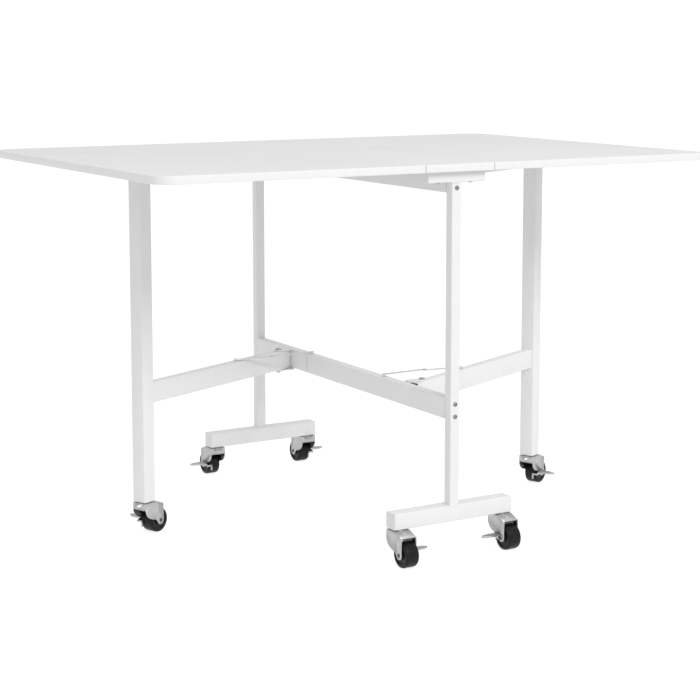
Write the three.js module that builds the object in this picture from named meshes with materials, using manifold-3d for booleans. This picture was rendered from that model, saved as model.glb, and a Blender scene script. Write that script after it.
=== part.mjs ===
// A rolling sewing and cutting table that folds away, in millimetres with +Z up.
// The origin is on the floor under the middle of the top. X runs along the table's width, Y along its
// depth, and the front is at -Y.
// A narrow fixed centre panel stands on two T-frames and two beams. On each side a leaf is hinged to it
// and rests on a gate, a swinging frame of leg and rails that a folding stay holds open.
import * as THREE from "three";
import { mergeVertices } from "three/addons/utils/BufferGeometryUtils.js";
import Module from "manifold-3d";

const wasm = await Module();
wasm.setup();

// Driving dimensions: the top
const TOP_WIDTH = 1486;
const TOP_DEPTH = 1012;
const TOP_HEIGHT = 914;
const BOARD = 18;
const CORNER_RADIUS = 50;
const CENTRE_WIDTH = 185;
const SEAM = 1.5;
const BOARD_EDGE = 1;

// Driving dimensions: the frame
const WALL = 1.5;
const TUBE_ROUND = 2.5;
const SLIM = 25;
const STOUT = 38;
const BEAM_HEIGHT = 50;
const FOOT_LENGTH = 325;
const CROSSBAR_LENGTH = 155;
const FRAME_INSET = 16;
const LOWER_BEAM_TOP = 372;
const GAP = 0.3;

// Driving dimensions: the gates, seen from above
const PIVOT = new THREE.Vector2(-54, 266);
const GATE_ANGLE = 24.4;
const GATE_REACH = 538;
const RAIL_END = 36;
const UPPER_RAIL_TOP = 883.5;
const STAY_ON_BEAM = 179;
const STAY_ON_GATE = 181;
const STAY_BEAM_LINK = 120;
const STAY_GATE_LINK = 100;

// Driving dimensions: the casters
const CASTER_HEIGHT = 83;
const CASTER_INSET = 20.5;
const WHEEL_RADIUS = 30;
const WHEEL_WIDTH = 35;
const TRAIL = 36;

const UNDERSIDE = TOP_HEIGHT - BOARD;
const LEG_TOP = UNDERSIDE - 0.6;
const FRAME_FRONT = TOP_DEPTH / 2 - FRAME_INSET;
const FOOT_TOP = CASTER_HEIGHT + STOUT;
const BEAM_REACH = FRAME_FRONT - SLIM - GAP;

const white = paint("#f2f2f1", 0.42);
const laminate = paint("#f4f4f3", 0.5);
const zinc = new THREE.MeshStandardMaterial({ color: "#a9aaab", roughness: 0.36, metalness: 0.9 });
const steel = new THREE.MeshStandardMaterial({ color: "#8d8e90", roughness: 0.4, metalness: 0.9 });
const rubber = paint("#232324", 0.55);

const table = new THREE.Group();

function paint(color, roughness) {
  return new THREE.MeshStandardMaterial({ color, roughness, metalness: 0 });
}

// ---------------------------------------------------------------- solids

// A closed three.js geometry as a manifold solid.
function solid(geometry) {
  const bare = geometry.index ? geometry.toNonIndexed() : geometry.clone();
  bare.deleteAttribute("normal");
  bare.deleteAttribute("uv");
  const merged = mergeVertices(bare, 1e-4);
  const mesh = new wasm.Mesh({
    numProp: 3,
    vertProperties: new Float32Array(merged.attributes.position.array),
    triVerts: new Uint32Array(merged.index.array),
  });
  return new wasm.Manifold(mesh);
}

// A manifold solid back as a three.js geometry.
function geometryOf(manifold) {
  const mesh = manifold.getMesh();
  const geometry = new THREE.BufferGeometry();
  geometry.setAttribute("position", new THREE.BufferAttribute(mesh.vertProperties, 3));
  geometry.setIndex(new THREE.BufferAttribute(mesh.triVerts, 1));
  return geometry;
}

// The first geometry with the others joined to it.
function join(first, ...others) {
  return geometryOf(others.reduce((sum, other) => sum.add(solid(other)), solid(first)));
}

// The first geometry with the others cut out of it.
function cut(first, ...others) {
  return geometryOf(others.reduce((rest, other) => rest.subtract(solid(other)), solid(first)));
}

// A box between two corners.
function block(x0, x1, y0, y1, z0, z1) {
  const box = new THREE.BoxGeometry(x1 - x0, y1 - y0, z1 - z0);
  return box.translate((x0 + x1) / 2, (y0 + y1) / 2, (z0 + z1) / 2);
}

// An upright cylinder between two heights.
function rod(radius, x, y, z0, z1, sides = 20) {
  const cylinder = new THREE.CylinderGeometry(radius, radius, z1 - z0, sides);
  return cylinder.rotateX(Math.PI / 2).translate(x, y, (z0 + z1) / 2);
}

// A cylinder along Y between two places.
function axle(radius, x, z, y0, y1, sides = 16) {
  const cylinder = new THREE.CylinderGeometry(radius, radius, y1 - y0, sides);
  return cylinder.translate(x, (y0 + y1) / 2, z);
}

// A rectangle with rounded corners, centred on the origin.
function roundedRectangle(width, height, radius) {
  const shape = new THREE.Shape();
  const x = width / 2;
  const y = height / 2;
  shape.moveTo(radius - x, -y);
  shape.lineTo(x - radius, -y);
  shape.absarc(x - radius, radius - y, radius, -Math.PI / 2, 0);
  shape.lineTo(x, y - radius);
  shape.absarc(x - radius, y - radius, radius, 0, Math.PI / 2);
  shape.lineTo(radius - x, y);
  shape.absarc(radius - x, y - radius, radius, Math.PI / 2, Math.PI);
  shape.lineTo(-x, radius - y);
  shape.absarc(radius - x, radius - y, radius, Math.PI, 1.5 * Math.PI);
  return shape;
}

// A bar of rectangular section along Z with round long edges, from z = 0 to its length.
function bar(width, height, length, radius) {
  const section = roundedRectangle(width, height, radius);
  return new THREE.ExtrudeGeometry(section, { depth: length, bevelEnabled: false, curveSegments: 2 });
}

// A rectangular tube along Z from z = 0, open at both ends, or closed by walls at both ends.
function tube(width, height, length, closed = false) {
  const shell = bar(width, height, length, TUBE_ROUND);
  const end = closed ? WALL : -1;
  const hollow = bar(width - 2 * WALL, height - 2 * WALL, length - 2 * end, TUBE_ROUND - WALL);
  return cut(shell, hollow.translate(0, 0, end));
}

// The settings for a flat plate of some thickness.
function flat(depth) {
  return { depth, bevelEnabled: false, curveSegments: 6 };
}

// A bar with round ends about the origin and a point on +X, as an outline.
function linkOutline(length, radius) {
  const shape = new THREE.Shape();
  shape.absarc(0, 0, radius, Math.PI / 2, 1.5 * Math.PI);
  shape.lineTo(length, -radius);
  shape.absarc(length, 0, radius, -Math.PI / 2, Math.PI / 2);
  return shape;
}

// A tongue from a round end about the origin to a square end on +X, as an outline.
function tongueOutline(length, radius) {
  const shape = new THREE.Shape();
  shape.absarc(0, 0, radius, Math.PI / 2, 1.5 * Math.PI);
  shape.lineTo(length, -radius);
  shape.lineTo(length, radius);
  return shape;
}

// A turned piece about Z from [radius, z] points that start and end on the axis, bottom first.
function turned(points, sides = 32) {
  const profile = points.map(([radius, z]) => new THREE.Vector2(radius, z));
  return new THREE.LatheGeometry(profile, sides).rotateX(Math.PI / 2);
}

// A named piece in a group.
function piece(name, geometry, material, group = table) {
  const mesh = new THREE.Mesh(geometry, material);
  mesh.name = name;
  group.add(mesh);
  return mesh;
}

// A group turned about Z by an angle in degrees and placed on the floor plan.
function placed(x, y, degrees, parent = table) {
  const group = new THREE.Group();
  group.position.set(x, y, 0);
  group.rotation.z = THREE.MathUtils.degToRad(degrees);
  parent.add(group);
  return group;
}

// ---------------------------------------------------------------- the top

// A board from its outline, with its edges eased.
function board(shape) {
  const easing = { bevelThickness: BOARD_EDGE, bevelSize: BOARD_EDGE, bevelOffset: -BOARD_EDGE, bevelSegments: 1 };
  const depth = BOARD - 2 * BOARD_EDGE;
  const slab = new THREE.ExtrudeGeometry(shape, { depth, curveSegments: 8, ...easing });
  return slab.translate(0, 0, UNDERSIDE + BOARD_EDGE);
}

// The fixed panel in the middle.
function centrePanel() {
  const shape = new THREE.Shape();
  const x = CENTRE_WIDTH / 2;
  const y = TOP_DEPTH / 2;
  shape.moveTo(-x, -y);
  shape.lineTo(x, -y);
  shape.lineTo(x, y);
  shape.lineTo(-x, y);
  piece("top_centre", board(shape), laminate);
}

// A leaf on the +X side, with its two outer corners round.
function leaf(name, group) {
  const shape = new THREE.Shape();
  const inner = CENTRE_WIDTH / 2 + SEAM;
  const outer = TOP_WIDTH / 2;
  const y = TOP_DEPTH / 2;
  shape.moveTo(inner, -y);
  shape.lineTo(outer - CORNER_RADIUS, -y);
  shape.absarc(outer - CORNER_RADIUS, CORNER_RADIUS - y, CORNER_RADIUS, -Math.PI / 2, 0);
  shape.lineTo(outer, y - CORNER_RADIUS);
  shape.absarc(outer - CORNER_RADIUS, y - CORNER_RADIUS, CORNER_RADIUS, 0, Math.PI / 2);
  shape.lineTo(inner, y);
  piece(name, board(shape), laminate, group);
}

// The two plates of one butt hinge under the seam on the +X side, at a place along the seam.
// The fixed plate holds the outer knuckles and the pin, the leaf's plate turns about the pin.
function leafHinge(name, group, y) {
  const knuckle = 3.5;
  const pin = 1.6;
  const plateThickness = 1.5;
  const plateTop = UNDERSIDE - GAP;
  const plateBottom = plateTop - plateThickness;
  const axisZ = plateTop - 3.8;
  const axisX = CENTRE_WIDTH / 2 + SEAM / 2;
  const half = 36;
  const third = 12;
  const clear = knuckle + 0.7;
  const wide = 19;
  const tab = (side, y0, y1) => {
    const x0 = side > 0 ? axisX : axisX - clear - 0.5;
    const x1 = side > 0 ? axisX + clear + 0.5 : axisX;
    return block(x0, x1, y0, y1, plateBottom, plateTop);
  };
  const fixed = join(
    block(axisX - wide, axisX - clear, y - half, y + half, plateBottom, plateTop),
    tab(-1, y - half, y - third),
    tab(-1, y + third, y + half),
    axle(knuckle, axisX, axisZ, y - half, y - third),
    axle(knuckle, axisX, axisZ, y + third, y + half),
    axle(pin, axisX, axisZ, y - half - 1, y + half + 1, 12),
  );
  const turning = join(
    block(axisX + clear, axisX + wide, y - half, y + half, plateBottom, plateTop),
    tab(1, y - third + 0.4, y + third - 0.4),
    axle(knuckle, axisX, axisZ, y - third + 0.4, y + third - 0.4),
  );
  const bore = axle(pin + 0.2, axisX, axisZ, y - third, y + third, 12);
  piece(`${name}_fixed_plate`, fixed, steel, group);
  piece(`${name}_leaf_plate`, cut(turning, bore), steel, group);
}

// ---------------------------------------------------------------- the frame

// One T-frame at the front: foot, upright and crossbar. The back one is the same, turned half round.
function tFrame(name, group) {
  const slimY = -FRAME_FRONT + SLIM / 2;
  const footY = -FRAME_FRONT + STOUT / 2;
  const casterX = FOOT_LENGTH / 2 - CASTER_INSET;

  const footTube = tube(STOUT, STOUT, FOOT_LENGTH, true);
  footTube.rotateY(Math.PI / 2).translate(-FOOT_LENGTH / 2, footY, CASTER_HEIGHT + STOUT / 2);
  const socket = (x) => rod(6, x, footY, CASTER_HEIGHT - 1, CASTER_HEIGHT + WALL + 1);
  piece(`${name}_foot`, cut(footTube, socket(-casterX), socket(casterX)), white, group);

  const uprightBase = FOOT_TOP + GAP;
  const crossbarBase = UNDERSIDE - GAP - SLIM;
  const upright = tube(SLIM, SLIM, crossbarBase - GAP - uprightBase);
  piece(`${name}_upright`, upright.translate(0, slimY, uprightBase), white, group);

  const crossbar = tube(SLIM, SLIM, CROSSBAR_LENGTH, true);
  crossbar.rotateY(Math.PI / 2).translate(-CROSSBAR_LENGTH / 2, slimY, crossbarBase + SLIM / 2);
  const screwHole = (x) => rod(3, x, slimY, crossbarBase - 1, crossbarBase + WALL + 1, 16);
  piece(`${name}_crossbar`, cut(crossbar, screwHole(-45), screwHole(45)), white, group);
}

// A beam between the two T-frames, with a hole in its top for each stay's rivet.
function beam(name, top, holes) {
  const hollow = tube(SLIM, BEAM_HEIGHT, 2 * BEAM_REACH);
  hollow.rotateX(-Math.PI / 2).translate(0, -BEAM_REACH, top - BEAM_HEIGHT / 2);
  const drills = holes.map((y) => rod(RIVET_HOLE, 0, y, top - WALL - 1, top + 1, 20));
  piece(name, drills.length ? cut(hollow, ...drills) : hollow, white);
}

// ---------------------------------------------------------------- gates

const RIVET = 3;
const RIVET_HOLE = 3.3;
const BOLT = 4;
const BOLT_HOLE = 4.4;
const EAR = 2.5;
const EAR_GAP = 0.4;
const LOWER_RAIL_BASE = LOWER_BEAM_TOP - BEAM_HEIGHT;
const UPPER_RAIL_BASE = UPPER_RAIL_TOP - SLIM;

// A gate's rail along +X from behind the pivot to the leg, drilled for the pivot bolt.
function rail(height, base, extraHoles) {
  const length = GATE_REACH - STOUT / 2 - GAP + RAIL_END;
  const hollow = tube(height, SLIM, length);
  hollow.rotateY(Math.PI / 2).translate(-RAIL_END, 0, base + height / 2);
  return cut(hollow, rod(BOLT_HOLE, 0, 0, base - 1, base + height + 1), ...extraHoles);
}

// The swinging frame that carries a leaf: a leg and two rails, in a group whose origin is the pivot.
function gate(name, group) {
  const leg = tube(STOUT, STOUT, LEG_TOP - CASTER_HEIGHT, true).translate(GATE_REACH, 0, CASTER_HEIGHT);
  const socket = rod(6, GATE_REACH, 0, CASTER_HEIGHT - 1, CASTER_HEIGHT + WALL + 1);
  piece(`${name}_leg`, cut(leg, socket), white, group);
  const stayHole = rod(RIVET_HOLE, STAY_ON_GATE, 0, LOWER_BEAM_TOP - WALL - 1, LOWER_BEAM_TOP + 1, 20);
  piece(`${name}_lower_rail`, rail(BEAM_HEIGHT, LOWER_RAIL_BASE, [stayHole]), white, group);
  piece(`${name}_upper_rail`, rail(SLIM, UPPER_RAIL_BASE, []), white, group);
}

// A pivot bracket on a beam's side: a back plate, a tab that carries an ear over and one under the
// rail, and the bolt through both, in a group at the pivot whose +X points at the beam.
function pivotBracket(name, group, railBase, railTop) {
  const face = -PIVOT.x - SLIM / 2 - GAP;
  const back = face - 2.2;
  const low = railBase - EAR_GAP - EAR;
  const high = railTop + EAR_GAP + EAR;
  const ear = (z) => new THREE.ExtrudeGeometry(tongueOutline(back + 1, 12), flat(EAR)).translate(0, 0, z);
  const bracket = join(
    block(back, face, -81, 34, railBase + 2, railTop - 2),
    block(back, face, -12, 12, low, high),
    ear(low),
    ear(high - EAR),
    rod(BOLT, 0, 0, low - 1, high + 1),
    rod(7.5, 0, 0, high, high + 3, 6),
    rod(7, 0, 0, low - 4.5, low, 6),
  );
  piece(name, bracket, white, group);
}

// A stay's link along +X with its rivet at the origin, which turns in a hole in the tube below.
function stayLink(name, group, length, z) {
  const thickness = 1.5;
  const seat = LOWER_BEAM_TOP;
  const rivet = turned([
    [0, seat - WALL - 3],
    [5, seat - WALL - 3],
    [5, seat - WALL - GAP],
    [RIVET, seat - WALL - GAP],
    [RIVET, seat + GAP],
    [4.6, seat + GAP],
    [4.6, z + thickness],
    [3.4, z + thickness + 1.1],
    [0, z + thickness + 1.5],
  ], 14);
  const strap = new THREE.ExtrudeGeometry(linkOutline(length, 5.5), flat(thickness)).translate(0, 0, z);
  piece(name, join(strap, rivet), steel, group);
}

// ---------------------------------------------------------------- casters

const FORK_HALF = 21.5;
const SHEET = 2.2;
const FORK_TOP = 81;
const FORK_FRONT = -18;
const FORK_BACK = TRAIL + 10.5;
const FORK_BEND = 20;
const FORK_SLOPE = 0.38;
const AXLE = 3;

// The raceway cup and stem, with a riveted end under the fork's top.
function casterStem() {
  return turned([
    [0, FORK_TOP - 6],
    [9, FORK_TOP - 6],
    [9, FORK_TOP - SHEET - GAP],
    [5, FORK_TOP - SHEET - GAP],
    [5, FORK_TOP + GAP],
    [17.5, FORK_TOP + GAP],
    [18.5, FORK_TOP + 0.9],
    [18.5, CASTER_HEIGHT - GAP],
    [5.5, CASTER_HEIGHT - GAP],
    [5.5, CASTER_HEIGHT + 26],
    [0, CASTER_HEIGHT + 26],
  ], 18);
}

// The fork's side outline, with x along the trail and y as height.
function forkOutline() {
  const shape = new THREE.Shape();
  shape.moveTo(FORK_FRONT, FORK_TOP);
  shape.lineTo(FORK_FRONT, 63);
  shape.lineTo(-14, 52);
  shape.lineTo(-8, 44.8);
  shape.lineTo(0, 40.4);
  shape.lineTo(20.5, 33.6);
  shape.absarc(TRAIL, WHEEL_RADIUS, FORK_BACK - TRAIL, Math.PI * 1.1, Math.PI * 2);
  shape.lineTo(FORK_BACK, FORK_TOP - FORK_SLOPE * (FORK_BACK - FORK_BEND));
  shape.lineTo(FORK_BEND, FORK_TOP);
  return shape;
}

// The space inside the fork: open below and behind, closed by the top, the ears and the front wall.
function forkHollow() {
  const shape = new THREE.Shape();
  const beyond = FORK_BACK + 20;
  shape.moveTo(FORK_FRONT + SHEET, -10);
  shape.lineTo(beyond, -10);
  shape.lineTo(beyond, FORK_TOP - SHEET - FORK_SLOPE * (beyond - FORK_BEND));
  shape.lineTo(FORK_BEND, FORK_TOP - SHEET);
  shape.lineTo(FORK_FRONT + SHEET, FORK_TOP - SHEET);
  return shape;
}

// An outline in the trail and height plane, as a slab across Y.
function across(shape, y0, y1) {
  const slab = new THREE.ExtrudeGeometry(shape, flat(y1 - y0));
  return slab.rotateX(Math.PI / 2).translate(0, y1, 0);
}

// The stamped fork with its riveted axle. On the brake's side the axle runs on to carry the lever.
function casterFork(brakeSide) {
  const shell = cut(
    across(forkOutline(), -FORK_HALF, FORK_HALF),
    across(forkHollow(), SHEET - FORK_HALF, FORK_HALF - SHEET),
    rod(5.4, 0, 0, FORK_TOP - SHEET - 1, FORK_TOP + 1),
  );
  const y = (distance) => brakeSide * distance;
  const round = (radius, a, b) => axle(radius, TRAIL, WHEEL_RADIUS, Math.min(a, b), Math.max(a, b), 16);
  return join(
    shell,
    round(AXLE, y(-FORK_HALF - 0.5), y(FORK_HALF + 4)),
    round(4.6, y(-FORK_HALF - 1.4), y(-FORK_HALF + 0.5)),
    round(5, y(FORK_HALF + 3.3), y(FORK_HALF + 5)),
  );
}

// The wheel, bored for the axle, with a rounded tread and raised rims. It stands on one of its flats.
function casterWheel() {
  const half = WHEEL_WIDTH / 2;
  const flats = 26;
  const tread = WHEEL_RADIUS / Math.cos(Math.PI / flats);
  const profile = [
    [AXLE + 0.3, -half + 1.5],
    [21, -half + 1.5],
    [22, -half],
    [27, -half + 0.6],
    [tread, -half + 4],
  ];
  const points = [...profile, ...profile.map(([radius, y]) => [radius, -y]).reverse()];
  points.push(points[0]);
  const closed = points.map(([radius, y]) => new THREE.Vector2(radius, y));
  return new THREE.LatheGeometry(closed, flats, Math.PI / flats).translate(TRAIL, 0, WHEEL_RADIUS);
}

// The brake lever: an arm beside the fork that turns on the axle, a leaf-shaped pedal that sticks out
// sideways, and a bar across the front of the tread whose end is bent down.
function brakeLever(brakeSide) {
  const inner = FORK_HALF + 0.4;
  const outer = inner + 2.4;
  const arm = new THREE.Shape();
  arm.moveTo(TRAIL + 6, WHEEL_RADIUS + 6);
  arm.lineTo(TRAIL - 6, WHEEL_RADIUS + 7);
  arm.lineTo(TRAIL - 24, WHEEL_RADIUS + 7);
  arm.lineTo(TRAIL - 37, WHEEL_RADIUS + 1);
  arm.lineTo(TRAIL - 37, WHEEL_RADIUS - 3);
  arm.lineTo(TRAIL - 20, WHEEL_RADIUS - 3);
  arm.lineTo(TRAIL - 6, WHEEL_RADIUS - 6);
  arm.lineTo(TRAIL + 6, WHEEL_RADIUS - 6);
  const [y0, y1] = brakeSide > 0 ? [inner, outer] : [-outer, -inner];
  const pedal = new THREE.Shape();
  const root = brakeSide * (inner + 1);
  const shoulder = brakeSide * (inner + 14);
  const tip = brakeSide * (inner + 44);
  pedal.moveTo(TRAIL - 22, root);
  pedal.bezierCurveTo(TRAIL - 27, shoulder, TRAIL - 25, brakeSide * (inner + 34), TRAIL - 15, tip);
  pedal.bezierCurveTo(TRAIL - 6, brakeSide * (inner + 34), TRAIL - 5, shoulder, TRAIL - 9, root);
  const pedalPlate = new THREE.ExtrudeGeometry(pedal, flat(2));
  const end = brakeSide * 8.5;
  const barY = [Math.min(end, brakeSide * outer), Math.max(end, brakeSide * outer)];
  const postY = [Math.min(end, end + brakeSide * 4), Math.max(end, end + brakeSide * 4)];
  const joined = join(
    across(arm, y0, y1),
    pedalPlate.translate(0, 0, WHEEL_RADIUS + 4.5),
    block(TRAIL - 35, TRAIL - 32.5, ...barY, WHEEL_RADIUS - 3, WHEEL_RADIUS + 1),
    block(TRAIL - 35, TRAIL - 32.5, ...postY, WHEEL_RADIUS - 14, WHEEL_RADIUS + 1),
  );
  return cut(joined, axle(AXLE + 0.3, TRAIL, WHEEL_RADIUS, y0 - 1, y1 + 1));
}

// A whole caster in a group at its stem whose +X is the way the wheel trails.
function caster(name, group, brakeSide) {
  piece(`${name}_stem`, casterStem(), zinc, group);
  piece(`${name}_fork`, casterFork(brakeSide), zinc, group);
  piece(`${name}_wheel`, casterWheel(), rubber, group);
  piece(`${name}_brake`, brakeLever(brakeSide), zinc, group);
}

// ---------------------------------------------------------------- the whole table

// Where a stay's knee is when its gate stands open: its two ends are a little nearer than its links
// are long together, and the knee is bowed to the side that it folds to.
function openKnee(beamEnd, gateEnd) {
  const span = beamEnd.distanceTo(gateEnd);
  const along = (STAY_BEAM_LINK ** 2 - STAY_GATE_LINK ** 2 + span ** 2) / (2 * span);
  const bow = Math.sqrt(STAY_BEAM_LINK ** 2 - along ** 2);
  const direction = gateEnd.clone().sub(beamEnd).divideScalar(span);
  const sideways = new THREE.Vector2(-direction.y, direction.x);
  return beamEnd.clone().addScaledVector(direction, along).addScaledVector(sideways, bow);
}

// The two links of a stay, each on the rivet at its own end, crossing at the knee one above the other.
function stay(letter, half) {
  const angle = THREE.MathUtils.degToRad(180 + GATE_ANGLE);
  const along = new THREE.Vector2(Math.cos(angle), Math.sin(angle));
  const beamEnd = new THREE.Vector2(0, STAY_ON_BEAM);
  const gateEnd = PIVOT.clone().addScaledVector(along, STAY_ON_GATE);
  const knee = openKnee(beamEnd, gateEnd);
  const toKnee = (end) => THREE.MathUtils.radToDeg(Math.atan2(knee.y - end.y, knee.x - end.x));
  const beamGroup = placed(beamEnd.x, beamEnd.y, toKnee(beamEnd), half);
  const gateGroup = placed(gateEnd.x, gateEnd.y, toKnee(gateEnd), half);
  stayLink(`stay_${letter}_beam_link`, beamGroup, STAY_BEAM_LINK, LOWER_BEAM_TOP + 5.1);
  stayLink(`stay_${letter}_gate_link`, gateGroup, STAY_GATE_LINK, LOWER_BEAM_TOP + 3.3);
}

// Everything on one side but its caster: leaf, hinges, gate, pivots and stay. Side A is the -X side.
// Side B is the same, turned half round about the middle.
function side(letter, turn) {
  const half = placed(0, 0, turn);
  const leafGroup = placed(0, 0, 180, half);
  leaf(`leaf_${letter}`, leafGroup);
  leafHinge(`hinge_${letter}1`, leafGroup, -400);
  leafHinge(`hinge_${letter}2`, leafGroup, 400);
  const pivotGroup = placed(PIVOT.x, PIVOT.y, 0, half);
  pivotBracket(`pivot_${letter}_lower`, pivotGroup, LOWER_RAIL_BASE, LOWER_BEAM_TOP);
  pivotBracket(`pivot_${letter}_upper`, pivotGroup, UPPER_RAIL_BASE, UPPER_RAIL_TOP);
  gate(`gate_${letter}`, placed(PIVOT.x, PIVOT.y, 180 + GATE_ANGLE, half));
  stay(letter, half);
}

// The six casters. Those on the -X side have the brake on the left of the way they trail, and those
// on the +X side have it on the right.
function casters() {
  const footX = FOOT_LENGTH / 2 - CASTER_INSET;
  const footY = FRAME_FRONT - STOUT / 2;
  const angle = THREE.MathUtils.degToRad(GATE_ANGLE);
  const legX = -PIVOT.x + GATE_REACH * Math.cos(angle);
  const legY = -PIVOT.y + GATE_REACH * Math.sin(angle);
  caster("caster_front_left", placed(-footX, -footY, -90), 1);
  caster("caster_front_right", placed(footX, -footY, -90), -1);
  caster("caster_rear_left", placed(-footX, footY, 90), 1);
  caster("caster_rear_right", placed(footX, footY, 90), -1);
  caster("caster_leg_a", placed(-legX, -legY, GATE_ANGLE), 1);
  caster("caster_leg_b", placed(legX, legY, GATE_ANGLE), -1);
}

centrePanel();
tFrame("front", placed(0, 0, 0));
tFrame("rear", placed(0, 0, 180));
beam("upper_beam", UNDERSIDE - GAP, []);
beam("lower_beam", LOWER_BEAM_TOP, [-STAY_ON_BEAM, STAY_ON_BEAM]);
side("a", 0);
side("b", 180);
casters();

export default table;
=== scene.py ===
"""A white sewing table with two leaves on swinging gates and six braked casters, on a pale floor.

Lengths are in millimetres and are scaled to metres when a piece's mesh is made. The origin is on the
floor under the middle of the top, with X along the width, Y from the front to the back and Z up.
"""
import math

import bmesh
import bpy
from mathutils import Matrix, Vector


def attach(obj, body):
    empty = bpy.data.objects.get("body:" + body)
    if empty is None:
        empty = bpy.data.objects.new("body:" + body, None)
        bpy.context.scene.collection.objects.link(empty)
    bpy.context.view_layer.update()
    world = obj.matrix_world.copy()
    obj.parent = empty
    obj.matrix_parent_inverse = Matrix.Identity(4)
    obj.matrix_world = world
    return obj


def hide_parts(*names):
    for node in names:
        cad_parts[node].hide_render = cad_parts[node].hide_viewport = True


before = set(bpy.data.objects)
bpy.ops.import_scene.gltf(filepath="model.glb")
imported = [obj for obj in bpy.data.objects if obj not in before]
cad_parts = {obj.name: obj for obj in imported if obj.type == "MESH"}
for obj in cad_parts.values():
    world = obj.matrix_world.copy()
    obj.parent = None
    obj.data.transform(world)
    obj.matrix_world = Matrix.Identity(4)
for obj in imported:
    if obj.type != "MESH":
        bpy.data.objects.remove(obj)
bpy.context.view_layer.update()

# The top
TOP_WIDTH = 1486
TOP_DEPTH = 1012
TOP_HEIGHT = 914
BOARD = 18
CORNER_RADIUS = 50
CENTRE_WIDTH = 185
SEAM = 1.5
EDGE_ROUND = 1.0
UNDERSIDE = TOP_HEIGHT - BOARD

# The frame
WALL = 1.5
TUBE_ROUND = 2.5
SLIM = 25
STOUT = 38
BEAM_HEIGHT = 50
FOOT_LENGTH = 325
CROSSBAR_LENGTH = 155
FRAME_FRONT = TOP_DEPTH / 2 - 16
LOWER_BEAM_TOP = 372
GAP = 0.3
CASTER_HEIGHT = 83
FOOT_TOP = CASTER_HEIGHT + STOUT
CROSSBAR_BASE = UNDERSIDE - GAP - SLIM
SCREW_HEIGHTS = (330, 359, 858)
CROSSBAR_SCREWS = (-45, 45)
PLUG = 1.5
END_CAP = 1.2
HINGES_Y = (-400, 400)
HINGE_SHEET = 1.3
HINGE_SCREWS_FIXED = 80.5
HINGE_SCREWS_LEAF = 106

# The gates and stays
PIVOT = (-54, 266)
GATE_ANGLE = 24.4
GATE_REACH = 538
RAIL_END = 36
UPPER_RAIL_TOP = 883.5
STAY_ON_BEAM = 179
STAY_ON_GATE = 181
STAY_BEAM_LINK = 120
STAY_GATE_LINK = 100
BEAM_LINK_RISE = 5.1
GATE_LINK_RISE = 3.3
STRAP = 1.5
STRAP_HALF = 5.5
BRACKET_SHEET = 2.2
EAR_SHEET = 2.5
EAR_CLEARANCE = 2.9

# The casters, with x along the trail, y along the axle
CASTER_INSET = 20.5
WHEEL_RADIUS = 30
WHEEL_WIDTH = 35
TRAIL = 36
FORK_HALF = 21.5
SHEET = 2.2
FORK_TOP = 81
EAR_END = 10.5
FORK_FRONT = -18
FORK_BACK = TRAIL + EAR_END
CREASE = 20.5
CREASE_DEPTH = 0.8
FORK_BEND = 2.6
LEVER_SIDE = FORK_HALF + 0.4
LEVER_SHEET = 2.4

# The camera
CAMERA_PLACE = (-2227.0, -3776.6, 1199.1)
CAMERA_YAW = 30.630
CAMERA_PITCH = 7.464
CAMERA_LENS = 90.35
CAMERA_SHIFT = -0.12

# The studio, in metres and watts
FLOOR_RADIUS = 14
FLOOR_GREY = 0.3
FLOOR_GLOW = 0.84
WORLD_LIGHT = 0.78
WORLD_SEEN = 1.05
KEY_PLACE = (0.5, -9.3, 7.9)
KEY_TARGET = (0, 0, 0.5)
KEY_SIZE = 4.2
KEY_POWER = 575

# The part of a noise's range over which a material varies
NOISE_LOW = 0.3
NOISE_HIGH = 0.7


# ---------------------------------------------------------------- shapes: points and faces

def skin(rings, capped=True, looped=False):
    """Rings with the same number of points joined by faces, with a face over each end if capped."""
    count = len(rings[0])
    points = [point for ring in rings for point in ring]
    faces = []
    for i in range(len(rings) if looped else len(rings) - 1):
        a = i * count
        b = (i + 1) % len(rings) * count
        for k in range(count):
            n = (k + 1) % count
            faces.append((a + k, a + n, b + n, b + k))
    if capped:
        last = (len(rings) - 1) * count
        faces.append(tuple(reversed(range(count))))
        faces.append(tuple(range(last, last + count)))
    return points, faces


def joined(*shapes):
    """Several shapes as one."""
    points, faces = [], []
    for more_points, more_faces in shapes:
        start = len(points)
        points.extend(more_points)
        faces.extend(tuple(start + i for i in face) for face in more_faces)
    return points, faces


def moved(shape, place):
    """A shape put at a place, which is a matrix in millimetres."""
    points, faces = shape
    return [tuple(place @ Vector(point)) for point in points], faces


def at(x, y, z, turn=0.0, axis="Z"):
    """A place: a turn in degrees about an axis, then a move."""
    return Matrix.Translation((x, y, z)) @ Matrix.Rotation(math.radians(turn), 4, axis)


def rounded(width, height, radius, steps=5):
    """The outline of a rectangle with round corners, anticlockwise."""
    points = []
    for sx, sy, start in ((1, 1, 0), (-1, 1, 90), (-1, -1, 180), (1, -1, 270)):
        cx = sx * (width / 2 - radius)
        cy = sy * (height / 2 - radius)
        for i in range(steps + 1):
            angle = math.radians(start + 90 * i / steps)
            points.append((cx + radius * math.cos(angle), cy + radius * math.sin(angle)))
    return points


def arc(x, y, radius, start, end, steps):
    """Points on an arc, with the angles in degrees."""
    angles = [math.radians(start + (end - start) * i / steps) for i in range(steps + 1)]
    return [(x + radius * math.cos(a), y + radius * math.sin(a)) for a in angles]


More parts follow.
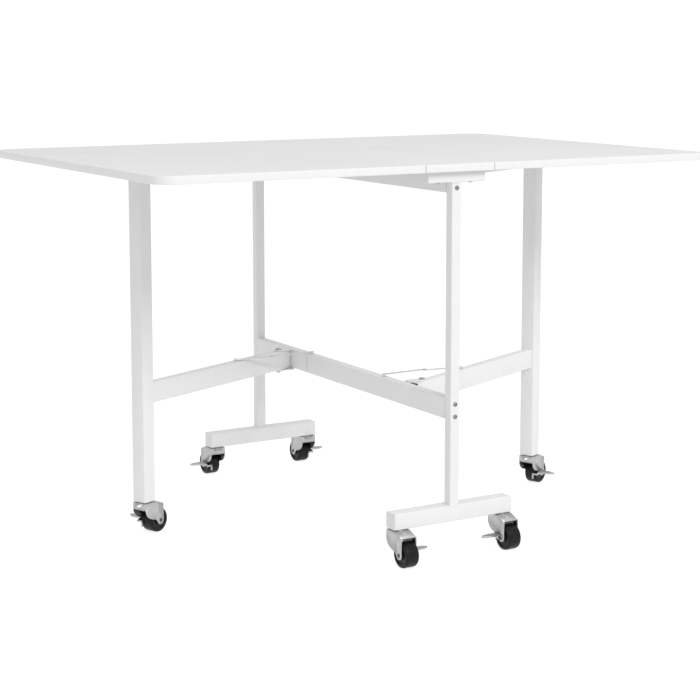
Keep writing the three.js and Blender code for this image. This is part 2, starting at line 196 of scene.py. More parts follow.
def tube(width, height, length):
    """A rectangular tube along Z from z = 0, open at both ends, with eased end edges."""
    outer = rounded(width, height, TUBE_ROUND)
    lip = rounded(width - 0.6, height - 0.6, TUBE_ROUND - 0.3)
    inner = rounded(width - 2 * WALL, height - 2 * WALL, TUBE_ROUND - WALL)
    stations = (
        (inner, 0), (lip, 0), (outer, 0.3),
        (outer, length - 0.3), (lip, length), (inner, length),
    )
    return skin([[(x, y, z) for x, y in outline] for outline, z in stations], False, True)


def cap(width, height, radius, z0, z1):
    """A low block along Z with round corners and eased edges, such as a tube's end plug."""
    stations = ((0.6, z0), (0, z0 + 0.5), (0, z1 - 0.5), (0.6, z1))
    rings = []
    for inset, z in stations:
        outline = rounded(width - 2 * inset, height - 2 * inset, max(radius - inset, 0.3))
        rings.append([(x, y, z) for x, y in outline])
    return skin(rings)


def turned(profile, sides=48):
    """A turned shape about Z from (radius, z) points, bottom first, closed at both ends."""
    rings = []
    for radius, z in profile:
        rings.append([(x, y, z) for x, y in arc(0, 0, radius, 0, 360 - 360 / sides, sides - 1)])
    return skin(rings)


def hexagon(apothem, sides=24):
    """A hexagon's outline with the same number of points as a circle of that many sides."""
    points = []
    for i in range(sides):
        angle = 2 * math.pi * i / sides
        off = (angle % (math.pi / 3)) - math.pi / 6
        radius = apothem / math.cos(off)
        points.append((radius * math.cos(angle), radius * math.sin(angle)))
    return points


def plate(outline, z0, z1, ease=0.4):
    """A flat plate from its outline, with eased edges."""
    mesh = bmesh.new()
    bottom = mesh.faces.new([mesh.verts.new((x, y, z0)) for x, y in outline])
    made = bmesh.ops.extrude_face_region(mesh, geom=[bottom])["geom"]
    top = [item for item in made if isinstance(item, bmesh.types.BMVert)]
    bmesh.ops.translate(mesh, verts=top, vec=(0, 0, z1 - z0))
    rim = [edge for edge in mesh.edges if abs(edge.verts[0].co.z - edge.verts[1].co.z) < 1e-6]
    bmesh.ops.bevel(mesh, geom=rim, offset=ease, segments=2, profile=0.5, affect="EDGES")
    return taken(mesh)


def taken(mesh):
    """A bmesh as a shape; the bmesh is freed."""
    bmesh.ops.recalc_face_normals(mesh, faces=mesh.faces)
    mesh.verts.index_update()
    points = [tuple(vert.co) for vert in mesh.verts]
    faces = [tuple(vert.index for vert in face.verts) for face in mesh.faces]
    mesh.free()
    return points, faces


def upright_plate(outline, y0, y1, ease=0.4):
    """A plate that stands across Y, from its outline in x and z."""
    flat = plate([(x, z) for x, z in outline], 0, y1 - y0, ease)
    return moved(flat, at(0, y1, 0, 90, "X"))


def piece(name, shape, body, materials, nodes=(), band=False, smooth=34):
    """An object in the scene from a shape in millimetres, riding on a body and standing for CAD nodes.
    With a band, every face but the last two takes the second material."""
    points, faces = shape
    mesh = bpy.data.meshes.new(name)
    mesh.from_pydata([(x / 1000, y / 1000, z / 1000) for x, y, z in points], [], faces)
    clean = bmesh.new()
    clean.from_mesh(mesh)
    bmesh.ops.recalc_face_normals(clean, faces=clean.faces)
    clean.to_mesh(mesh)
    clean.free()
    mesh.polygons.foreach_set("use_smooth", [True] * len(mesh.polygons))
    mesh.set_sharp_from_angle(angle=math.radians(smooth))
    for material in materials:
        mesh.materials.append(material)
    if band:
        flat = len(mesh.polygons) - 2
        mesh.polygons.foreach_set("material_index", [1] * flat + [0, 0])
    made = bpy.data.objects.new(name, mesh)
    bpy.context.scene.collection.objects.link(made)
    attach(made, body)
    if nodes:
        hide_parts(*nodes)
    return made


# ---------------------------------------------------------------- materials

class Finish:
    """A material under construction: a Principled shader with its nodes, in object coordinates."""

    def __init__(self, name, colour, roughness, metallic=0.0):
        self.material = bpy.data.materials.new(name)
        self.material.use_nodes = True
        self.tree = self.material.node_tree
        self.shader = self.tree.nodes["Principled BSDF"]
        self.shader.inputs["Base Color"].default_value = (*colour, 1)
        self.shader.inputs["Roughness"].default_value = roughness
        self.shader.inputs["Metallic"].default_value = metallic
        self.material.diffuse_color = (*colour, 1)
        self.place = self.tree.nodes.new("ShaderNodeTexCoord").outputs["Object"]

    def noise(self, scale, detail=3.0, stretch=None):
        """A noise with a scale per metre, stretched along the axes if asked."""
        noise = self.tree.nodes.new("ShaderNodeTexNoise")
        noise.inputs["Scale"].default_value = scale
        noise.inputs["Detail"].default_value = detail
        source = self.place
        if stretch:
            mapping = self.tree.nodes.new("ShaderNodeMapping")
            mapping.inputs["Scale"].default_value = stretch
            self.tree.links.new(source, mapping.inputs["Vector"])
            source = mapping.outputs["Vector"]
        self.tree.links.new(source, noise.inputs["Vector"])
        return noise.outputs["Fac"]

    def tint(self, fac, low, high):
        """The base colour runs from one colour to another with a noise."""
        ramp = self.tree.nodes.new("ShaderNodeValToRGB")
        ramp.color_ramp.elements[0].position = NOISE_LOW
        ramp.color_ramp.elements[1].position = NOISE_HIGH
        ramp.color_ramp.elements[0].color = (*low, 1)
        ramp.color_ramp.elements[1].color = (*high, 1)
        self.tree.links.new(fac, ramp.inputs["Fac"])
        self.tree.links.new(ramp.outputs["Color"], self.shader.inputs["Base Color"])

    def polish(self, fac, low, high):
        """The roughness runs between two values with a noise."""
        span = self.tree.nodes.new("ShaderNodeMapRange")
        span.inputs["From Min"].default_value = NOISE_LOW
        span.inputs["From Max"].default_value = NOISE_HIGH
        span.inputs["To Min"].default_value = low
        span.inputs["To Max"].default_value = high
        self.tree.links.new(fac, span.inputs["Value"])
        self.tree.links.new(span.outputs["Result"], self.shader.inputs["Roughness"])

    def bump(self, fac, strength, depth):
        """A relief of a depth in metres from a noise."""
        bump = self.tree.nodes.new("ShaderNodeBump")
        bump.inputs["Strength"].default_value = strength
        bump.inputs["Distance"].default_value = depth
        self.tree.links.new(fac, bump.inputs["Height"])
        self.tree.links.new(bump.outputs["Normal"], self.shader.inputs["Normal"])


def grey(value, warm=0.0):
    """A near-neutral colour, a little warmer or cooler."""
    return (value * (1 + warm), value, value * (1 - warm))


def laminate():
    """White melamine with a very fine pebbled skin and faint uneven gloss."""
    finish = Finish("laminate", grey(0.76), 0.5)
    finish.tint(finish.noise(5, 4), grey(0.745, 0.002), grey(0.77))
    finish.polish(finish.noise(14, 5), 0.44, 0.56)
    finish.bump(finish.noise(1300, 2), 0.18, 0.00012)
    return finish.material


def edge_band():
    """The glossier white plastic band round a board's edge, scraped along its length."""
    finish = Finish("edge_band", grey(0.83), 0.36)
    finish.tint(finish.noise(60, 3), grey(0.815), grey(0.84))
    finish.polish(finish.noise(220, 3, (1, 1, 12)), 0.3, 0.42)
    finish.bump(finish.noise(900, 2, (0.1, 0.1, 1)), 0.12, 0.0001)
    return finish.material


def powder_coat():
    """White powder coat: fine orange peel, with slightly uneven thickness."""
    finish = Finish("powder_coat", grey(0.82), 0.38)
    finish.tint(finish.noise(22, 4), grey(0.805), grey(0.83))
    finish.polish(finish.noise(60, 4), 0.32, 0.44)
    finish.bump(finish.noise(620, 2), 0.3, 0.00016)
    return finish.material


def zinc():
    """Bright zinc plate on stamped sheet: soft streaks from the press and a cloudy passivation."""
    finish = Finish("zinc_plate", grey(0.49), 0.4, 1.0)
    finish.tint(finish.noise(70, 4), (0.455, 0.455, 0.46), (0.525, 0.525, 0.53))
    finish.polish(finish.noise(500, 4, (1, 1, 0.12)), 0.36, 0.48)
    finish.bump(finish.noise(800, 3, (1, 1, 0.3)), 0.14, 0.00012)
    return finish.material


def steel():
    """Plated steel of the screws, rivets, stays and hinges."""
    finish = Finish("plated_steel", grey(0.46), 0.34, 1.0)
    finish.tint(finish.noise(160, 4), (0.38, 0.38, 0.385), (0.52, 0.52, 0.525))
    finish.polish(finish.noise(900, 3, (1, 0.1, 1)), 0.26, 0.42)
    finish.bump(finish.noise(1200, 2), 0.12, 0.0001)
    return finish.material


def bright_steel():
    """The lighter, rolled steel strip of the stays."""
    finish = Finish("bright_steel", grey(0.72), 0.36, 1.0)
    finish.tint(finish.noise(120, 3), grey(0.68), grey(0.75))
    finish.polish(finish.noise(700, 3, (0.1, 1, 1)), 0.3, 0.42)
    finish.bump(finish.noise(1100, 2), 0.1, 0.0001)
    return finish.material


def blackened_steel():
    """The blackened steel of the frame's socket screws, in patches from near-black to a lighter grey."""
    finish = Finish("blackened_steel", grey(0.26), 0.38, 1.0)
    finish.tint(finish.noise(420, 4), grey(0.18), grey(0.36))
    finish.polish(finish.noise(700, 3), 0.3, 0.46)
    finish.bump(finish.noise(1400, 2), 0.14, 0.0001)
    return finish.material


def shade_and_dark_steel():
    """Near-black steel: painted shade on the inside of the forks, and the near-black axles."""
    finish = Finish("shade_and_dark_steel", grey(0.09), 0.42, 1.0)
    finish.tint(finish.noise(140, 4), grey(0.07), grey(0.12))
    finish.polish(finish.noise(600, 3), 0.34, 0.5)
    finish.bump(finish.noise(1200, 2), 0.14, 0.0001)
    return finish.material


def black_plastic():
    """The moulded black wheel: satin, with a fine grain and dusty patches."""
    finish = Finish("black_plastic", grey(0.009), 0.36)
    finish.shader.inputs["Specular IOR Level"].default_value = 0.2
    finish.tint(finish.noise(45, 5), grey(0.006), grey(0.01, 0.02))
    finish.polish(finish.noise(130, 4), 0.3, 0.44)
    finish.bump(finish.noise(1500, 2), 0.2, 0.00012)
    return finish.material


def white_plastic():
    """The moulded plugs in the tube ends."""
    finish = Finish("white_plastic", grey(0.80), 0.45)
    finish.polish(finish.noise(300, 3), 0.4, 0.52)
    finish.bump(finish.noise(1400, 2), 0.2, 0.0001)
    return finish.material


LAMINATE = laminate()
BAND = edge_band()
PAINT = powder_coat()
ZINC = zinc()
STEEL = steel()
STRIP = bright_steel()
SHADE_AND_DARK_STEEL = shade_and_dark_steel()
SCREW = blackened_steel()
BLACK = black_plastic()
PLASTIC = white_plastic()


# ---------------------------------------------------------------- the top

def board_shape(x0, x1, y0, y1, radii):
    """A board between two corners of the plan. The radii are of its four plan corners, anticlockwise
    from the one at x1 and y1. Its long edges are rounded over."""
    centres = ((x1, y1, -1, -1), (x0, y1, 1, -1), (x0, y0, 1, 1), (x1, y0, -1, 1))

    def outline(inset, z):
        ring = []
        for i, (x, y, sx, sy) in enumerate(centres):
            radius = radii[i]
            corner = arc(x + sx * radius, y + sy * radius, radius - inset, 90 * i, 90 * i + 90, 12)
            ring.extend((px, py, z) for px, py in corner)
        return ring

    steps = 4
    angles = [math.pi / 2 * i / steps for i in range(steps + 1)]
    easing = [(EDGE_ROUND * (1 - math.sin(a)), EDGE_ROUND * (1 - math.cos(a))) for a in angles]
    rings = [outline(inset, UNDERSIDE + rise) for inset, rise in easing]
    rings += [outline(inset, TOP_HEIGHT - rise) for inset, rise in reversed(easing)]
    return skin(rings)


def boards():
    """The fixed panel and the two leaves."""
    y = TOP_DEPTH / 2
    small = EDGE_ROUND + 0.2
    x = CENTRE_WIDTH / 2
    shape = board_shape(-x, x, -y, y, (small,) * 4)
    piece("panel_centre", shape, "frame", (LAMINATE, BAND), ["top_centre"], band=True)
    inner = CENTRE_WIDTH / 2 + SEAM
    outer = TOP_WIDTH / 2
    radii = (CORNER_RADIUS, small, small, CORNER_RADIUS)
    shape = board_shape(inner, outer, -y, y, radii)
    for letter, turn in (("a", 180), ("b", 0)):
        half = moved(shape, at(0, 0, 0, turn))
        leaf = f"leaf_{letter}"
        piece(f"panel_{letter}", half, leaf, (LAMINATE, BAND), [leaf], band=True)


def hinges():
    """The screws in the hinge plates, whose CAD plates stay."""
    head = turned(((1.2, -0.9), (3.4, -0.8), (3.4, -0.3), (2.9, 0)), 20)
    for letter, turn in (("a", 180), ("b", 0)):
        fixed, turning = [], []
        for hinge_y in HINGES_Y:
            for dy in (-27, 0, 27):
                for group, x in ((fixed, HINGE_SCREWS_FIXED), (turning, HINGE_SCREWS_LEAF)):
                    spot = at(0, 0, 0, turn) @ at(x, hinge_y + dy, UNDERSIDE - GAP - HINGE_SHEET)
                    group.append(moved(head, spot))
        piece(f"hinge_screws_{letter}_fixed", joined(*fixed), "frame", (STEEL,))
        piece(f"hinge_screws_{letter}_leaf", joined(*turning), f"leaf_{letter}", (STEEL,))
    for name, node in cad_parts.items():
        if name.startswith("hinge_"):
            node.data.materials.clear()
            node.data.materials.append(STEEL)


# ---------------------------------------------------------------- the frame

def weld(width, height, z):
    """A weld bead round a tube of this section, at a height, with the ripple of its passes."""
    outline = rounded(width, height, TUBE_ROUND, 3)
    path = []
    for i, (x, y) in enumerate(outline):
        nx, ny = outline[(i + 1) % len(outline)]
        steps = max(1, round(math.hypot(nx - x, ny - y) / 2))
        path.extend((x + (nx - x) * k / steps, y + (ny - y) * k / steps) for k in range(steps))
    rings = []
    for i, (x, y) in enumerate(path):
        before, after = path[i - 1], path[(i + 1) % len(path)]
        out = Vector((after[1] - before[1], before[0] - after[0], 0)).normalized()
        size = 1.35 + 0.2 * math.sin(i * 1.7)
        ring = []
        for dx, dz in arc(0, 0, size, 0, 300, 5):
            ring.append((x + out.x * dx, y + out.y * dx, z + dz))
        rings.append(ring)
    return skin(rings, False, True)


def socket_screw():
    """A button head screw on the plane z = 0, with a hexagon socket."""
    rings = [
        [(x, y, z) for x, y in arc(0, 0, radius, 0, 345, 23)]
        for radius, z in ((5.2, 0), (5.2, 0.9), (4.7, 2.0), (4.0, 2.7), (3.3, 3.0))
    ]
    rings.append([(x, y, 2.9) for x, y in hexagon(2.6)])
    rings.append([(x, y, 1.9) for x, y in hexagon(2.5)])
    return skin(rings)


def pan_screw():
    """A pan head screw on the plane z = 0, with a cross recess as a dimple."""
    profile = ((6, 0), (6, 0.8), (5.2, 2.2), (3.6, 3.0), (1.9, 3.1), (1.5, 1.6))
    return turned(profile, 24)


def t_frame(name, turn):
    """A foot with its plugs, an upright and a crossbar, with their screws and welds."""
    half = at(0, 0, 0, turn)
    slim_y = -FRAME_FRONT + SLIM / 2
    foot_y = -FRAME_FRONT + STOUT / 2
    along_x = at(0, 0, 0, 90, "Y")

    foot = tube(STOUT, STOUT, FOOT_LENGTH - 2 * PLUG)
    foot = moved(foot, half @ at(-FOOT_LENGTH / 2 + PLUG, foot_y, CASTER_HEIGHT + STOUT / 2) @ along_x)
    piece(f"{name}_foot_tube", foot, "frame", (PAINT,), [f"{name}_foot"])

    plug = cap(STOUT, STOUT, TUBE_ROUND, 0, PLUG)
    for side, x in (("left", -FOOT_LENGTH / 2), ("right", FOOT_LENGTH / 2 - PLUG)):
        end = moved(plug, half @ at(x, foot_y, CASTER_HEIGHT + STOUT / 2) @ along_x)
        piece(f"{name}_foot_plug_{side}", end, "frame", (PLASTIC,))

    base = FOOT_TOP + GAP
    length = CROSSBAR_BASE - GAP - base
    upright = moved(tube(SLIM, SLIM, length), half @ at(0, slim_y, base))
    piece(f"{name}_upright_tube", upright, "frame", (PAINT,), [f"{name}_upright"])

    bar_place = half @ at(-CROSSBAR_LENGTH / 2, slim_y, CROSSBAR_BASE + SLIM / 2) @ along_x
    ends = [cap(SLIM, SLIM, TUBE_ROUND, z, z + END_CAP) for z in (0, CROSSBAR_LENGTH - END_CAP)]
    bar = moved(tube(SLIM, SLIM, CROSSBAR_LENGTH - 2 * END_CAP), at(0, 0, END_CAP))
    bar = moved(joined(bar, *ends), bar_place)
    piece(f"{name}_crossbar_tube", bar, "frame", (PAINT,), [f"{name}_crossbar"])

    beads = joined(weld(SLIM, SLIM, FOOT_TOP + 0.2), weld(SLIM, SLIM, CROSSBAR_BASE - 0.2))
    beads = moved(beads, half @ at(0, slim_y, 0))
    piece(f"{name}_welds", beads, "frame", (PAINT,))

    facing = at(0, 0, 0, 90, "X")
    heads = [moved(socket_screw(), half @ at(0, -FRAME_FRONT, z) @ facing) for z in SCREW_HEIGHTS]
    piece(f"{name}_socket_screws", joined(*heads), "frame", (SCREW,))
    down = at(0, 0, 0, 180, "X")
    heads = [moved(pan_screw(), half @ at(x, slim_y, CROSSBAR_BASE) @ down) for x in CROSSBAR_SCREWS]
    piece(f"{name}_crossbar_screws", joined(*heads), "frame", (STEEL,))


def beams():
    """The upper and the lower beam between the T-frames."""
    reach = FRAME_FRONT - SLIM - GAP
    for name, top in (("upper_beam", UNDERSIDE - GAP), ("lower_beam", LOWER_BEAM_TOP)):
        place = at(0, -reach, top - BEAM_HEIGHT / 2, -90, "X")
        shape = moved(tube(SLIM, BEAM_HEIGHT, 2 * reach), place)
        piece(f"{name}_tube", shape, "frame", (PAINT,), [name])


# ---------------------------------------------------------------- the gates

def gate(letter, half):
    """The leg and two rails of a gate, with end plugs and welds."""
    body = f"gate_{letter}"
    place = half @ at(*PIVOT, 0, 180 + GATE_ANGLE)
    leg_top = UNDERSIDE - 0.6
    length = leg_top - CASTER_HEIGHT - 2 * END_CAP
    leg = moved(tube(STOUT, STOUT, length), at(0, 0, CASTER_HEIGHT + END_CAP))
    ends = [cap(STOUT, STOUT, TUBE_ROUND, z, z + END_CAP) for z in (CASTER_HEIGHT, leg_top - END_CAP)]
    leg = moved(joined(leg, *ends), place @ at(GATE_REACH, 0, 0))
    piece(f"gate_{letter}_leg_tube", leg, body, (PAINT,), [f"gate_{letter}_leg"])

    length = GATE_REACH - STOUT / 2 - GAP + RAIL_END
    beads = []
    for which, height, top in (("lower", BEAM_HEIGHT, LOWER_BEAM_TOP), ("upper", SLIM, UPPER_RAIL_TOP)):
        lying = place @ at(-RAIL_END, 0, top - height / 2) @ at(0, 0, 0, 90, "Y")
        shape = moved(tube(height, SLIM, length), lying)
        node = f"gate_{letter}_{which}_rail"
        piece(f"{node}_tube", shape, body, (PAINT,), [node])
        inside = cap(height - 2 * WALL - 0.2, SLIM - 2 * WALL - 0.2, 1, 0.6, 6)
        piece(f"{node}_plug", moved(inside, lying), body, (BLACK,))
        beads.append(moved(weld(height, SLIM, length - 0.2), lying))
    piece(f"gate_{letter}_welds", joined(*beads), body, (PAINT,))


def bracket_outline(bottom, crest, low, high):
    """A pivot bracket's back plate in y and z: a long wing with a taller tab that carries the ears."""
    rear = arc(-77, crest - 4, 4, 90, 180, 4) + arc(-77, bottom + 4, 4, 180, 270, 4)
    lower_tab = [(-12, bottom), (-12, low), (12, low), (12, bottom)]
    front = arc(30, bottom + 4, 4, 270, 360, 4) + arc(30, crest - 4, 4, 0, 90, 4)
    upper_tab = [(12, crest), (12, high), (-12, high), (-12, crest)]
    return rear + lower_tab + front + upper_tab


def pivot(letter, which, half, base, top):
    """A gate pivot: the painted bracket on the beam's side, and its bolt and nut."""
    face = -PIVOT[0] - SLIM / 2 - GAP
    back = face - BRACKET_SHEET
    low = base - EAR_CLEARANCE
    high = top + EAR_CLEARANCE
    place = half @ at(*PIVOT, 0)
    node = f"pivot_{letter}_{which}"

    reach = back + 1.2
    tongue = arc(0, 0, 12, 90, 270, 16) + [(reach, -12), (reach, 12)]
    ears = [plate(tongue, z, z + EAR_SHEET, 0.5) for z in (low, high - EAR_SHEET)]
    back_plate = plate(bracket_outline(base + 2, top - 2, low, high), 0, BRACKET_SHEET, 0.5)
    wing_plate = moved(back_plate, at(back, 0, 0) @ standing_x())
    bracket = moved(joined(wing_plate, *ears), place)
    piece(f"{node}_bracket", bracket, "frame", (PAINT,), [node])

    head = [[(x, y, z) for x, y in hexagon(6.4)] for z in (high + 0.9, high + 3.3)]
    crown = [[(x, y, high + 3.6) for x, y in hexagon(5.8)]]
    washer = turned(((8, high), (8.2, high + 0.4), (8, high + 0.9)), 32)
    shank = turned(((3.9, low - 1), (3.9, high + 1)), 24)
    nut = [[(x, y, z) for x, y in hexagon(6)] for z in (low - 4, low)]
    dome = turned(((2.6, low - 6), (3.9, low - 5.4), (3.9, low - 3)), 24)
    bolt = joined(skin(head + crown), washer, shank, skin(nut), dome)
    piece(f"{node}_bolt", moved(bolt, place), "frame", (STEEL,))


def standing_x():
    """A place that stands a plate's outline up in Y and Z and its thickness along X."""
    return Matrix(((0, 0, 1, 0), (1, 0, 0, 0), (0, 1, 0, 0), (0, 0, 0, 1)))


# ---------------------------------------------------------------- the stays

def knee_of(beam_end, gate_end):
    """Where a stay's two links meet while the gate stands open."""
    span = (gate_end - beam_end).length
    along = (STAY_BEAM_LINK ** 2 - STAY_GATE_LINK ** 2 + span ** 2) / (2 * span)
    bow = math.sqrt(STAY_BEAM_LINK ** 2 - along ** 2)
    direction = (gate_end - beam_end) / span
    return beam_end + direction * along + Vector((-direction.y, direction.x)) * bow


def rivet(z0, z1):
    """A rivet between two heights with a low round head on top."""
    profile = ((3.6, z0), (3.6, z1 - 0.1), (4.5, z1), (4.5, z1 + 0.4), (3.4, z1 + 1.1), (1.2, z1 + 1.4))
    return turned(profile, 28)


def link(length, z):
    """A stay's flat link along +X with round ends and a rivet at the origin."""
    outline = arc(0, 0, STRAP_HALF, 90, 270, 16) + arc(length, 0, STRAP_HALF, -90, 90, 16)
    return joined(plate(outline, z, z + STRAP, 0.4), rivet(LOWER_BEAM_TOP + GAP, z + STRAP))


def stay(letter, half):
    """The two links of a stay and the rivet at its knee."""
    angle = math.radians(180 + GATE_ANGLE)
    beam_end = Vector((0, STAY_ON_BEAM))
    gate_end = Vector(PIVOT) + Vector((math.cos(angle), math.sin(angle))) * STAY_ON_GATE
    knee = knee_of(beam_end, gate_end)
    ends = (
        ("beam", beam_end, STAY_BEAM_LINK, BEAM_LINK_RISE),
        ("gate", gate_end, STAY_GATE_LINK, GATE_LINK_RISE),
    )
    for which, end, length, rise in ends:
        node = f"stay_{letter}_{which}_link"
        turn = math.degrees(math.atan2(knee.y - end.y, knee.x - end.x))
        shape = link(length, LOWER_BEAM_TOP + rise)
        if which == "beam":
            knee_rivet = rivet(LOWER_BEAM_TOP + 2.5, LOWER_BEAM_TOP + BEAM_LINK_RISE + STRAP)
            shape = joined(shape, moved(knee_rivet, at(length, 0, 0)))
        shape = moved(shape, half @ at(end.x, end.y, 0, turn))
        piece(f"{node}_strap", shape, node, (STRIP,), [node])


# ---------------------------------------------------------------- the casters

def caster_stem():
    """The upper raceway cup, its riveted end under the fork and the stem in the tube."""
    race = FORK_TOP + GAP
    top = CASTER_HEIGHT - GAP
    return turned((
        (7.5, FORK_TOP - 6), (9, FORK_TOP - 5), (9, FORK_TOP - SHEET - GAP), (5, FORK_TOP - SHEET - GAP),
        (5, race), (17.2, race), (18.1, race + 0.3), (18.4, race + 0.8), (18.1, top - 0.1), (17.4, top),
        (5.5, top), (5.5, top + 24), (4.5, top + 25),
    ))


def ear_outline():
    """The side of the fork in x and z, anticlockwise from the front of its top: the wall's edge, the
    S-shaped lower edge, the round end about the axle, and the sloping top."""
    lower = [(FORK_FRONT, 63), (-17, 59), (-15, 54), (-12, 49), (-8, 44.8), (-2, 41.2), (5, 38.6)]
    lower += [(13, 36.1), (CREASE, 33.6), (23, 31)]
    tip = arc(TRAIL, WHEEL_RADIUS, EAR_END, 198, 360, 14)
    return [(FORK_FRONT, FORK_TOP)] + lower + tip + [(FORK_BACK, 70.9), (23, 79.9), (CREASE, FORK_TOP)]


def fork_shell():
    """The stamped fork's outer surface: two ears, each set in behind a crease, a top and a front wall,
    with round bends between them."""
    mesh = bmesh.new()
    outline = ear_outline()

    def ear(side):
        verts = []
        for x, z in outline:
            inset = 0 if x <= CREASE else CREASE_DEPTH
            verts.append(mesh.verts.new((x, side * (FORK_HALF - inset), z)))
        front = [v for v, (x, _) in zip(verts, outline) if x <= CREASE]
        low = next(i for i, (x, z) in enumerate(outline) if x == CREASE and z < FORK_TOP)
        high = len(outline) - 1
        crease = [verts[low], verts[low + 1], verts[high - 1], verts[high]]
        back = verts[low + 1:high]
        for face in (front, crease, back):
            mesh.faces.new(face if side < 0 else list(reversed(face)))
        return verts

    left, right = ear(1), ear(-1)
    count = len(outline)
    strips = [(0, 1), (count - 1, 0), (count - 2, count - 1), (count - 3, count - 2)]
    for a, b in strips:
        mesh.faces.new((left[a], left[b], right[b], right[a]))
    bmesh.ops.recalc_face_normals(mesh, faces=mesh.faces)
    bends = []
    for a, b in strips:
        for verts in (left, right):
            bends.append(mesh.edges.get((verts[a], verts[b])))
    bends.append(mesh.edges.get((left[0], right[0])))
    bmesh.ops.bevel(mesh, geom=bends, offset=FORK_BEND, segments=4, profile=0.5, affect="EDGES")
    return taken(mesh)


def axle_ends(brake_side):
    """The hollow rivet that is the axle, open at its plain end."""
    inner = brake_side * (FORK_HALF + 3.6)
    plain = -brake_side * (FORK_HALF - CREASE_DEPTH)
    length = abs(inner - plain)
    profile = (
        (3, 0), (3.1, length), (4.9, length + 0.2), (4.9, length + 1),
        (3.6, length + 1.5), (2.2, length + 0.6),
    )
    shank = turned(profile, 28)
    ring = turned(((4.7, -0.2), (4.7, 0.7), (3.9, 1.3), (2.6, 1.2), (2.2, -1.4)), 28)
    to_brake = at(TRAIL, plain, WHEEL_RADIUS, -90 * brake_side, "X")
    to_plain = at(TRAIL, plain, WHEEL_RADIUS, 90 * brake_side, "X")
    return joined(moved(shank, to_brake), moved(ring, to_plain))


def raceway():
    """The raised lower raceway pressed out of the fork's top, with a boss that runs down its slope."""
    sizes = (
        (34, 14.5, 74.2), (32.5, 14, 77), (29, 13, 79.6),
        (24.5, 12, 81.4), (19.8, 11, 81.9), (16, 10, 81.2),
    )
    boss = [[(x * along, y * wide, z) for x, y in arc(0, 0, 1, 0, 352.5, 47)] for along, wide, z in sizes]
    return skin(boss, capped=False)


def caster_wheel():
    """The wheel about Z: a crowned tread with round shoulders, dished sides and a raised hub."""
    half = WHEEL_WIDTH / 2
    sides = [
        (3.3, half - 1.2), (7.5, half - 1.2), (8.2, half - 1.7), (9, half - 3.2), (20.2, half - 3.2),
        (21.4, half - 1.2), (22.3, half - 0.4), (25.4, half - 0.2), (27.4, half - 0.8), (28.8, half - 1.9),
        (29.6, half - 3.4), (29.9, half - 5.2), (30, half - 9),
    ]
    profile = [(radius, -y) for radius, y in sides] + list(reversed(sides))
    rings = []
    for radius, y in profile:
        rings.append([(px, py, y) for px, py in arc(0, 0, radius, 0, 355, 71)])
    return skin(rings, False, True)


def pedal_outline(brake_side):
    """The leaf-shaped pedal's outline in x and y."""
    leading = [(-22, 1), (-24.6, 8), (-25.6, 16), (-25.4, 25), (-23.4, 33), (-19.6, 40), (-15.8, 43.6)]
    trailing = [(-14, 44), (-11.4, 40), (-8.4, 32), (-6.6, 24), (-6.2, 16), (-7.2, 8), (-9, 1)]
    return [(TRAIL + x, brake_side * (LEVER_SIDE + y)) for x, y in leading + trailing]


def brake_lever(brake_side):
    """The arm beside the fork, the pedal that sticks out sideways, and the bar across the tread."""
    outer = LEVER_SIDE + LEVER_SHEET
    y0, y1 = (LEVER_SIDE, outer) if brake_side > 0 else (-outer, -LEVER_SIDE)
    arm = [(6, -6), (6, 6), (-6, 7), (-24, 7), (-37, 1), (-37, -3), (-20, -3), (-6, -6)]
    arm_plate = upright_plate([(TRAIL + x, WHEEL_RADIUS + z) for x, z in arm], y0, y1, 0.5)
    deck = plate(pedal_outline(brake_side), WHEEL_RADIUS + 1.5, WHEEL_RADIUS + 6.5, 1.5)
    rib = [(-19, 3), (-13.5, 3), (-14.6, 34), (-16.6, 34)]
    rib = [(TRAIL + x, brake_side * (LEVER_SIDE + y)) for x, y in rib]
    rib_plate = plate(rib, WHEEL_RADIUS + 5.9, WHEEL_RADIUS + 7.4, 0.7)
    end = 8.5 * brake_side
    front, back = TRAIL - 35, TRAIL - 32.5
    low, high = sorted((end, brake_side * outer))
    bar = upright_plate([(front, 27), (back, 27), (back, 31), (front, 31)], low, high)
    low, high = sorted((end, end + 4 * brake_side))
    post = upright_plate([(front, 16), (back, 16), (back, 30), (front, 30)], low, high)
    return joined(arm_plate, deck, rib_plate, bar, post)


def caster(name, place, carrier, brake_side):
    """A whole caster. Its stem rides on the foot or leg that carries it."""
    stem = moved(caster_stem(), place)
    piece(f"{name}_cup", stem, carrier, (ZINC,), [f"{name}_stem"])
    fork = moved(fork_shell(), place)
    shell = piece(f"{name}_stamping", fork, f"{name}_fork", (ZINC, SHADE_AND_DARK_STEEL), [f"{name}_fork"])
    thickness = shell.modifiers.new("sheet", "SOLIDIFY")
    thickness.thickness = SHEET / 1000
    thickness.offset = -1
    thickness.use_even_offset = True
    # The sheet's inner faces take the second material, near-black: painted shade inside the fork.
    thickness.material_offset = 1
    piece(f"{name}_raceway", moved(raceway(), place), f"{name}_fork", (ZINC,))
    piece(f"{name}_axle", moved(axle_ends(brake_side), place), f"{name}_fork", (SHADE_AND_DARK_STEEL,))
    turning = place @ at(TRAIL, 0, WHEEL_RADIUS, 90, "X")
    wheel = f"{name}_wheel"
    piece(f"{name}_tyre", moved(caster_wheel(), turning), wheel, (BLACK,), [wheel])
    lever = moved(brake_lever(brake_side), place)
    piece(f"{name}_lever", lever, f"{name}_brake", (ZINC,), [f"{name}_brake"])


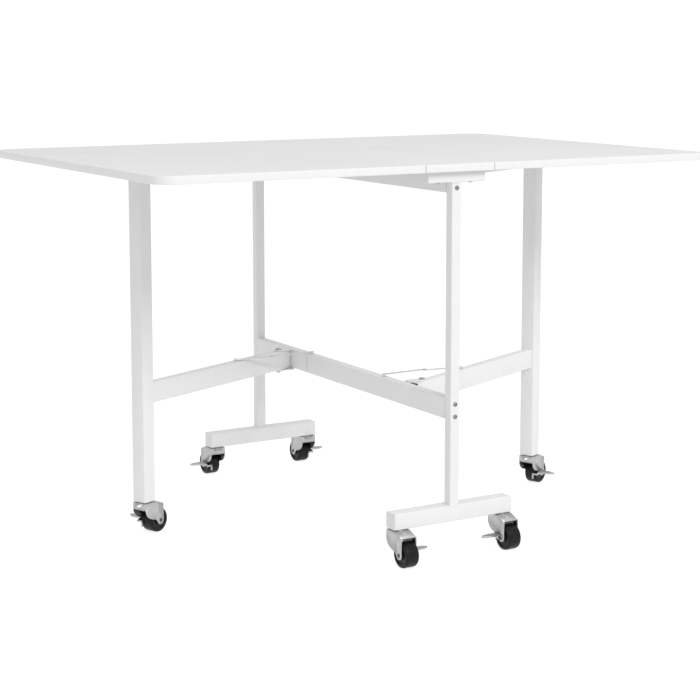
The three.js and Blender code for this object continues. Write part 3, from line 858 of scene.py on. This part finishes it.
def casters():
    """The six casters: four under the feet and one under each leg."""
    x = FOOT_LENGTH / 2 - CASTER_INSET
    y = FRAME_FRONT - STOUT / 2
    angle = math.radians(GATE_ANGLE)
    leg_x = -PIVOT[0] + GATE_REACH * math.cos(angle)
    leg_y = -PIVOT[1] + GATE_REACH * math.sin(angle)
    caster("caster_front_left", at(-x, -y, 0, -90), "frame", 1)
    caster("caster_front_right", at(x, -y, 0, -90), "frame", -1)
    caster("caster_rear_left", at(-x, y, 0, 90), "frame", 1)
    caster("caster_rear_right", at(x, y, 0, 90), "frame", -1)
    caster("caster_leg_a", at(-leg_x, -leg_y, 0, GATE_ANGLE), "gate_a", 1)
    caster("caster_leg_b", at(leg_x, leg_y, 0, GATE_ANGLE), "gate_b", -1)


# ---------------------------------------------------------------- the studio

def floor():
    """A wide pale floor that shows hardly any shadow and throws no light up under the top."""
    bpy.ops.mesh.primitive_circle_add(vertices=96, radius=FLOOR_RADIUS, fill_type="NGON")
    ground = bpy.context.object
    ground.name = "floor"
    finish = Finish("studio_floor", grey(FLOOR_GREY), 0.9)
    finish.shader.inputs["Emission Color"].default_value = (1, 1, 1, 1)
    finish.shader.inputs["Emission Strength"].default_value = FLOOR_GLOW
    finish.shader.inputs["Specular IOR Level"].default_value = 0.0
    ground.data.materials.append(finish.material)
    ground.visible_diffuse = False


def surroundings():
    """White to look at, and a softer grey as a source of light."""
    world = bpy.data.worlds.new("studio")
    bpy.context.scene.world = world
    world.use_nodes = True
    tree = world.node_tree
    background = tree.nodes["Background"]
    background.inputs["Color"].default_value = (1, 1, 1, 1)
    seen = tree.nodes.new("ShaderNodeLightPath").outputs["Is Camera Ray"]
    strength = tree.nodes.new("ShaderNodeMapRange")
    strength.inputs["To Min"].default_value = WORLD_LIGHT
    strength.inputs["To Max"].default_value = WORLD_SEEN
    tree.links.new(seen, strength.inputs["Value"])
    tree.links.new(strength.outputs["Result"], background.inputs["Strength"])


def soft_light(name, place, target, size, power):
    """A square area light at a place in metres, facing a target."""
    lamp = bpy.data.lights.new(name, "AREA")
    lamp.size = size
    lamp.energy = power
    made = bpy.data.objects.new(name, lamp)
    made.location = place
    made.rotation_euler = (Vector(target) - Vector(place)).to_track_quat("-Z", "Y").to_euler()
    bpy.context.scene.collection.objects.link(made)


def camera():
    """The camera, at the angle that the table is seen from."""
    data = bpy.data.cameras.new("camera")
    data.lens = CAMERA_LENS
    data.sensor_width = 36
    data.shift_y = CAMERA_SHIFT
    data.clip_end = 60
    made = bpy.data.objects.new("camera", data)
    made.location = Vector(CAMERA_PLACE) / 1000
    made.rotation_euler = (math.radians(90 - CAMERA_PITCH), 0, math.radians(-CAMERA_YAW))
    bpy.context.scene.collection.objects.link(made)
    bpy.context.scene.camera = made


camera()
surroundings()
floor()
soft_light("key", KEY_PLACE, KEY_TARGET, KEY_SIZE, KEY_POWER)
bpy.context.scene.view_settings.view_transform = "Standard"

boards()
hinges()
t_frame("front", 0)
t_frame("rear", 180)
beams()
for letter, turn in (("a", 0), ("b", 180)):
    half = at(0, 0, 0, turn)
    gate(letter, half)
    pivot(letter, "lower", half, LOWER_BEAM_TOP - BEAM_HEIGHT, LOWER_BEAM_TOP)
    pivot(letter, "upper", half, UPPER_RAIL_TOP - SLIM, UPPER_RAIL_TOP)
    stay(letter, half)
casters()
